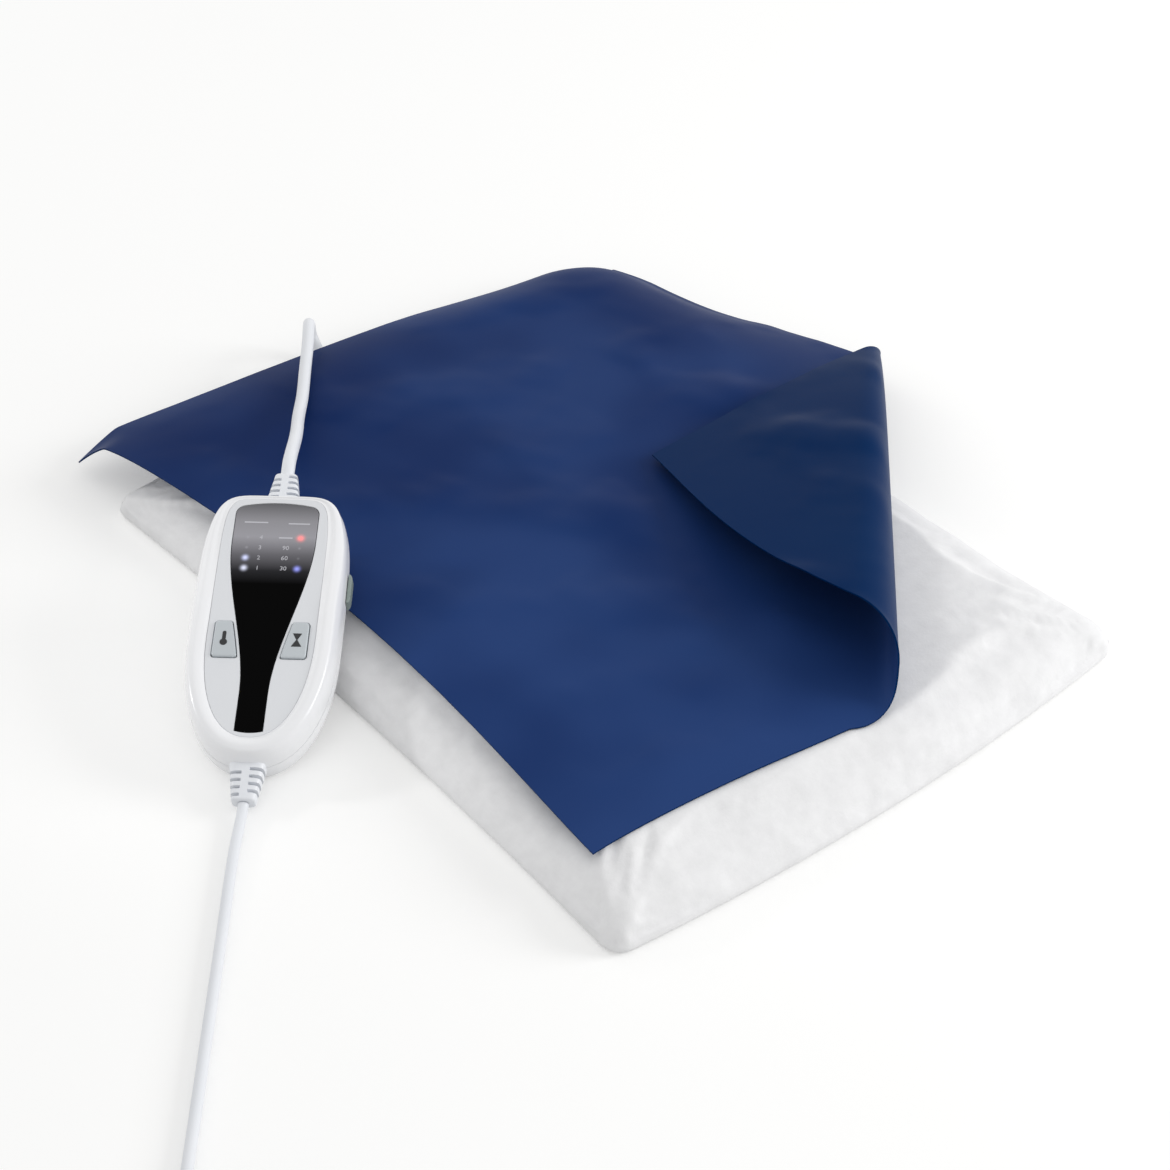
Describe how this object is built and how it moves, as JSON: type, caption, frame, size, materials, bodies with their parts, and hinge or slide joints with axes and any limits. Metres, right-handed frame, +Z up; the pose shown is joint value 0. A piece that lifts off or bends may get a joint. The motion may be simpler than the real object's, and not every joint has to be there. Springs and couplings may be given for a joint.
{
  "type": "heating pad with controller",
  "caption": "Fleece heating pad with a loose, folded-back moisture cover and a corded hand controller with press keys, lamps and a slide switch; its mains cord is coiled up to the plug.",
  "frame": {"origin": "middle of the pad's underside, on the surface it lies on", "axes": "+X along the pad's long side, +Y across it towards the side away from the controller, +Z up"},
  "size_m": [0.6168, 0.6192, 0.0652],
  "materials": {
    "fleece": "soft white pile",
    "felt": "pressed felt",
    "wire_insulation": "matt",
    "cover_cloth": "smooth, faintly satin navy",
    "housing": "glossy white",
    "face": "satin light grey",
    "window": "polished black, fading to silver grey at its upper end",
    "key": "satin silver grey",
    "slider": "satin grey",
    "lamp": "diffused lens",
    "board": "solder mask",
    "component": "moulded",
    "film": "moulded box",
    "steel": "bright",
    "cord_sheath": "satin white",
    "tie": "matt"
  },
  "bodies": {
    "pad_and_controller": {"pad_upper_layer": "fleece", "pad_lower_layer": "fleece", "heater_felt": "felt", "heating_wire": "wire_insulation", "cover_sheet": "cover_cloth", "handset_upper_shell": "housing", "handset_lower_shell": "housing", "terminal_block": "housing", "face_plate": "face", "display_window": "window", "timer_led_1": "lamp", "timer_led_2": "lamp", "timer_led_3": "lamp", "timer_led_4": "lamp", "temperature_led_1": "lamp", "temperature_led_2": "lamp", "temperature_led_3": "lamp", "temperature_led_4": "lamp", "circuit_board": "board", "thermostat_1": "component", "thermostat_2": "component", "temperature_switch": "component", "timer_switch": "component", "slide_switch": "component", "triac": "component", "control_chip": "component", "film_capacitor": "film", "fuse": "steel", "plug_pin_1": "steel", "plug_pin_2": "steel", "housing_screw_1": "steel", "housing_screw_2": "steel", "housing_screw_3": "steel", "housing_screw_4": "steel", "pad_cord_gland": "cord_sheath", "upper_strain_relief": "cord_sheath", "lower_strain_relief": "cord_sheath", "pad_cord": "cord_sheath", "mains_cord": "cord_sheath", "mains_cord_coil": "cord_sheath", "plug_strain_relief": "cord_sheath", "plug_body": "cord_sheath", "coil_tie": "tie"},
    "temperature_key": {"temperature_key": "key", "temperature_plunger": "component"},
    "timer_key": {"timer_key": "key", "timer_plunger": "component"},
    "power_slider": {"power_slider": "slider"}
  },
  "joints": [
    {"name": "temperature_key_press", "type": "slide", "parent": "pad_and_controller", "child": "temperature_key", "axis": [-0.2307, 0.2056, -0.9511], "range_m": [0, 0.0006], "stiffness_N_per_m": 600},
    {"name": "timer_key_press", "type": "slide", "parent": "pad_and_controller", "child": "timer_key", "axis": [-0.2307, 0.2056, -0.9511], "range_m": [0, 0.0006], "stiffness_N_per_m": 600},
    {"name": "power_slide", "type": "slide", "parent": "pad_and_controller", "child": "power_slider", "axis": [-0.7101, 0.6327, 0.309], "range_m": [0, 0.004]}
  ]
}
